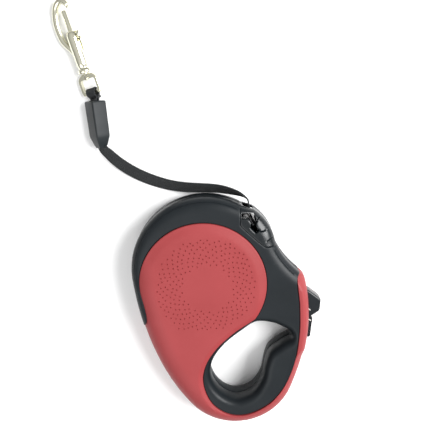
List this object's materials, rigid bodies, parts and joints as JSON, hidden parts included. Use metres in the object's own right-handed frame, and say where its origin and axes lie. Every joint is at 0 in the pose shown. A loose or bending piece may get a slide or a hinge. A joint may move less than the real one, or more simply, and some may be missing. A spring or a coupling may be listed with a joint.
{
  "type": "retractable leash",
  "caption": "Hand-held retractable dog leash: two-shell case with covers, spring spool of flat tape, thumb brake with lock, tape ending in a swivel bolt snap.",
  "frame": {"origin": "on the tape spool's axis, in the flat outer face of the lower cover that the leash lies on", "axes": "+Z along the spool's axis towards the upper cover, +Y towards the tape's exit, +X towards the brake button"},
  "size_m": [0.2072, 0.3392, 0.036],
  "materials": {
    "case_black": "satin moulded plastic, fine spark texture",
    "cover_red": "soft-touch matte plastic",
    "gloss_black": "polished black plastic",
    "webbing": "woven nylon webbing, matte",
    "sleeve_rubber": "smooth matte rubber",
    "chrome": "polished nickel-chrome plating",
    "steel": "plain bright steel",
    "acetal": "natural acetal, unpainted"
  },
  "bodies": {
    "body": {"lower_case": "case_black", "upper_case": "case_black", "lower_cover": "cover_red", "upper_cover": "cover_red", "nozzle_insert": "gloss_black", "front_roller_pin": "steel", "rear_roller_pin": "steel", "spool_axle": "acetal", "axle_screw": "steel", "upper_washer": "steel", "lower_washer": "steel", "brake_pivot_pin": "steel", "brake_spring": "steel", "inner_tape": "webbing", "free_tape": "webbing", "tape_sleeve": "sleeve_rubber", "tape_loop": "webbing", "clip_eye": "chrome", "case_screw_1": "steel", "case_screw_2": "steel", "case_screw_3": "steel", "case_screw_4": "steel", "case_screw_5": "steel", "case_screw_6": "steel"},
    "spool": {"spool": "acetal", "spring_cover": "acetal", "power_spring": "steel", "wound_tape": "webbing"},
    "front_roller": {"front_roller": "gloss_black"},
    "rear_roller": {"rear_roller": "gloss_black"},
    "brake_button": {"brake_button": "gloss_black"},
    "lock_slider": {"lock_slider": "gloss_black"},
    "brake_lever": {"brake_lever": "acetal"},
    "hook": {"clip_hook": "chrome", "clip_spring": "steel"},
    "bolt": {"clip_bolt": "chrome"}
  },
  "joints": [
    {"name": "spool_spin", "type": "hinge", "parent": "body", "child": "spool", "pos_m": [0, 0, 0.018], "axis": [0, 0, 1], "continuous": true},
    {"name": "front_roller_spin", "type": "hinge", "parent": "body", "child": "front_roller", "pos_m": [0.04521, 0.0484, 0.018], "axis": [0, 0, 1], "continuous": true},
    {"name": "rear_roller_spin", "type": "hinge", "parent": "body", "child": "rear_roller", "pos_m": [0.03271, 0.04895, 0.018], "axis": [0, 0, 1], "continuous": true},
    {"name": "brake_button_press", "type": "slide", "parent": "body", "child": "brake_button", "axis": [-1, 0, 0], "range_m": [0, 0.004], "stiffness_N_per_m": 500, "springref_m": -0.003},
    {"name": "brake_lever_pivot", "type": "hinge", "parent": "body", "child": "brake_lever", "pos_m": [0.058, 0.009, 0.0262], "axis": [0, 0, -1], "range_deg": [0, 8.6]},
    {"name": "lock_slide", "type": "slide", "parent": "body", "child": "lock_slider", "axis": [0, -1, 0], "range_m": [0, 0.005]},
    {"name": "hook_swivel", "type": "hinge", "parent": "body", "child": "hook", "pos_m": [-0.089, 0.1605, 0.0057], "axis": [-0.3007, 0.9537, 0], "continuous": true},
    {"name": "bolt_slide", "type": "slide", "parent": "hook", "child": "bolt", "axis": [0.3007, -0.9537, 0], "range_m": [0, 0.008], "stiffness_N_per_m": 200, "springref_m": -0.008}
  ],
  "couplings": [
    {"joint": "brake_lever_pivot", "follows": "brake_button_press", "rad_per_m": 37}
  ]
}
